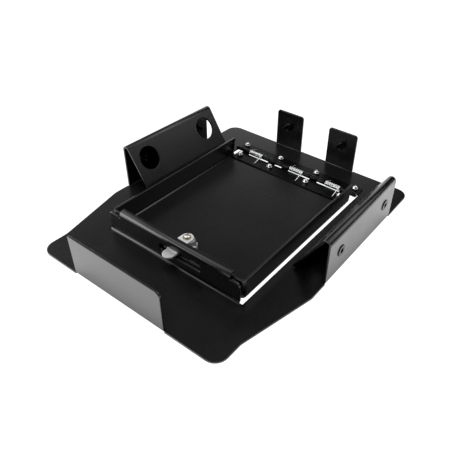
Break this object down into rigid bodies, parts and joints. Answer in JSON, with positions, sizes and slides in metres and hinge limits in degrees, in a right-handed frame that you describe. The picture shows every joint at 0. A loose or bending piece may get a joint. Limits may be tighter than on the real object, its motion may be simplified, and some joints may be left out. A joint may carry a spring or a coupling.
{
  "type": "console safe lid assembly",
  "caption": "Folded sheet-steel plate with a spring-hinged lid pan held by a cam lock, and brackets with rivet nuts for bolting it over a storage bin.",
  "frame": {"origin": "middle of the whole object at the plate's outer face, which faces down", "axes": "+Y from the lock end to the hinge end, +Z away from the outer face, towards the bracket crests"},
  "size_m": [0.3014, 0.369, 0.062],
  "materials": {
    "powder_coat": "semi-gloss black powder coat",
    "hinge_steel": "black oxide steel",
    "pin_steel": "plain steel",
    "spring_steel": "bright zinc plated wire",
    "bright_zinc": "bright zinc plate",
    "black_zinc": "black zinc plate",
    "lock_chrome": "chrome plate",
    "yellow_zinc": "yellow zinc plate",
    "lock_brass": "plain brass"
  },
  "bodies": {
    "plate": {"base_plate": "powder_coat", "hinge_leaf_plate": "hinge_steel", "hinge_pin": "pin_steel", "spring_left": "spring_steel", "spring_middle": "spring_steel", "spring_right": "spring_steel", "plate_hinge_studs": "bright_zinc", "plate_hinge_nuts": "bright_zinc", "left_rivet_nuts": "black_zinc", "right_rivet_nuts": "black_zinc", "tab_rivet_nuts": "black_zinc"},
    "lid": {"lid_pan": "powder_coat", "hinge_leaf_lid": "hinge_steel", "lid_hinge_studs": "bright_zinc", "lid_hinge_nuts": "bright_zinc", "lock_body": "lock_chrome", "lock_nut": "bright_zinc"},
    "lock_rotor": {"lock_plug": "lock_brass", "lock_wafers": "lock_brass", "stop_washer": "lock_chrome", "lock_cam": "lock_chrome", "cam_washer": "yellow_zinc", "cam_screw": "lock_chrome"}
  },
  "joints": [
    {"name": "lid_hinge", "type": "hinge", "parent": "plate", "child": "lid", "pos_m": [0, 0.1289, 0.0058], "axis": [1, 0, 0], "range_deg": [0, 100], "stiffness_Nm_per_rad": 0.35, "springref_deg": 179.91, "deforming": ["spring_left", "spring_middle", "spring_right"]},
    {"name": "lock_turn", "type": "hinge", "parent": "lid", "child": "lock_rotor", "pos_m": [0, -0.0845, 0.01], "axis": [0, 0, 1], "range_deg": [0, 90]}
  ]
}
